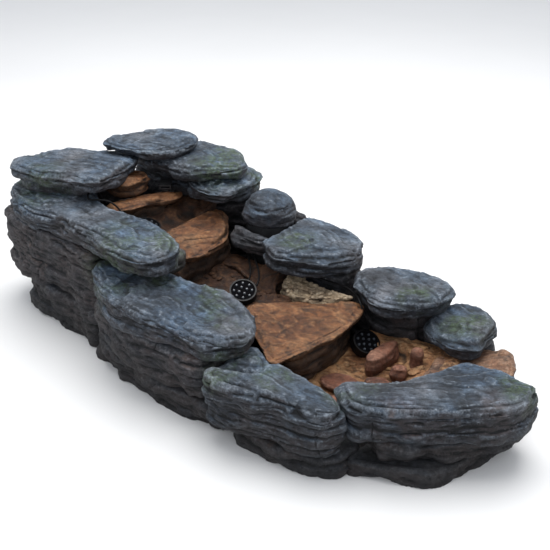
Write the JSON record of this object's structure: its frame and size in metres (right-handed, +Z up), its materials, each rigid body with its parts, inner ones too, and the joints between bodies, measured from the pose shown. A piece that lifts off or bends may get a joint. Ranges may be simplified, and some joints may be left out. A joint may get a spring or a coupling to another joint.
{
  "type": "tiered rock cascade fountain",
  "caption": "Layered slate-look resin rocks step down around three stream pools, with a hidden pump under a lift-off boulder, a riser hose and sunken lights.",
  "frame": {"origin": "on the ground under the middle of the ring of stones", "axes": "+X downstream, from the high spring end to the low end; +Y to the back; +Z up"},
  "size_m": [1.211, 0.5453, 0.358],
  "materials": {
    "slate_stone": "hand-brushed blue-grey stone paint with moss and umber washes",
    "ochre_stone": "ochre and rust stone paint, wetted",
    "bed_resin": "dark brown moulded bed",
    "gravel": "cast tan gravel",
    "red_stone": "rust-red stone paint",
    "black_plastic": "black moulded plastic",
    "pump_plastic": "black textured plastic",
    "white_plastic": "white moulded plastic",
    "dial_plastic": "blue moulded plastic",
    "hose_rubber": "flexible hose",
    "clamp_steel": "stainless band",
    "light_case": "black sealed case",
    "light_face": "dark potted face",
    "lamp": "clear white lamp domes",
    "lead_rubber": "black round lead"
  },
  "bodies": {
    "rockwork": {"left_cap_stone": "slate_stone", "left_packing_stone": "slate_stone", "left_rim_stone": "slate_stone", "left_wall_block": "slate_stone", "left_base_block": "slate_stone", "centre_rim_stone": "slate_stone", "centre_wall_block": "slate_stone", "centre_base_block": "slate_stone", "filler_stone": "slate_stone", "right_rim_stone": "slate_stone", "right_base_block": "slate_stone", "end_rim_stone": "slate_stone", "end_middle_stone": "slate_stone", "end_base_stone": "slate_stone", "end_apron": "slate_stone", "back_top_slab": "slate_stone", "back_middle_slab": "slate_stone", "back_lower_slab": "slate_stone", "back_left_block": "slate_stone", "sump_back_stone": "slate_stone", "slot_stone": "slate_stone", "back_centre_cap": "slate_stone", "back_centre_block": "slate_stone", "back_right_cap": "slate_stone", "back_right_block": "slate_stone", "back_end_cap": "slate_stone", "back_end_block": "slate_stone", "spring_rock": "ochre_stone", "top_ledge": "ochre_stone", "top_riser": "ochre_stone", "inner_packing_stone": "slate_stone", "middle_ledge": "ochre_stone", "middle_riser": "ochre_stone", "pool_back_stone": "bed_resin", "gravel_bank": "gravel", "lower_ledge": "ochre_stone", "lower_riser": "ochre_stone", "bed_stones": "red_stone", "top_pool": "bed_resin", "middle_pool": "bed_resin", "lower_pool_bed": "bed_resin", "reservoir_tray": "black_plastic", "pump_sump": "black_plastic", "pump_body": "pump_plastic", "riser_hose": "hose_rubber", "hose_clamps": "clamp_steel", "spring_spout": "black_plastic", "light_housings": "light_case", "light_faces": "light_face", "light_lamps": "lamp", "lead_top": "lead_rubber", "lead_middle_in": "lead_rubber", "lead_middle_out": "lead_rubber", "lead_lower": "lead_rubber", "power_lead_gland": "black_plastic"},
    "lid": {"access_boulder": "slate_stone", "access_spigot": "black_plastic"},
    "impeller": {"pump_impeller": "white_plastic"},
    "intake_cover": {"pump_intake_cover": "pump_plastic"},
    "flow_dial": {"pump_flow_dial": "dial_plastic"}
  },
  "joints": [
    {"name": "lid_lift", "type": "slide", "parent": "rockwork", "child": "lid", "axis": [0, 0, 1], "range_m": [0, 0.12]},
    {"name": "impeller_spin", "type": "hinge", "parent": "rockwork", "child": "impeller", "pos_m": [-0.084, 0.182, 0.05], "axis": [1, 0, 0], "continuous": true},
    {"name": "cover_slide", "type": "slide", "parent": "rockwork", "child": "intake_cover", "axis": [1, 0, 0], "range_m": [0, 0.009]},
    {"name": "flow_dial_turn", "type": "hinge", "parent": "intake_cover", "child": "flow_dial", "pos_m": [-0.084, 0.182, 0.062], "axis": [1, 0, 0], "range_deg": [-45, 45]}
  ]
}
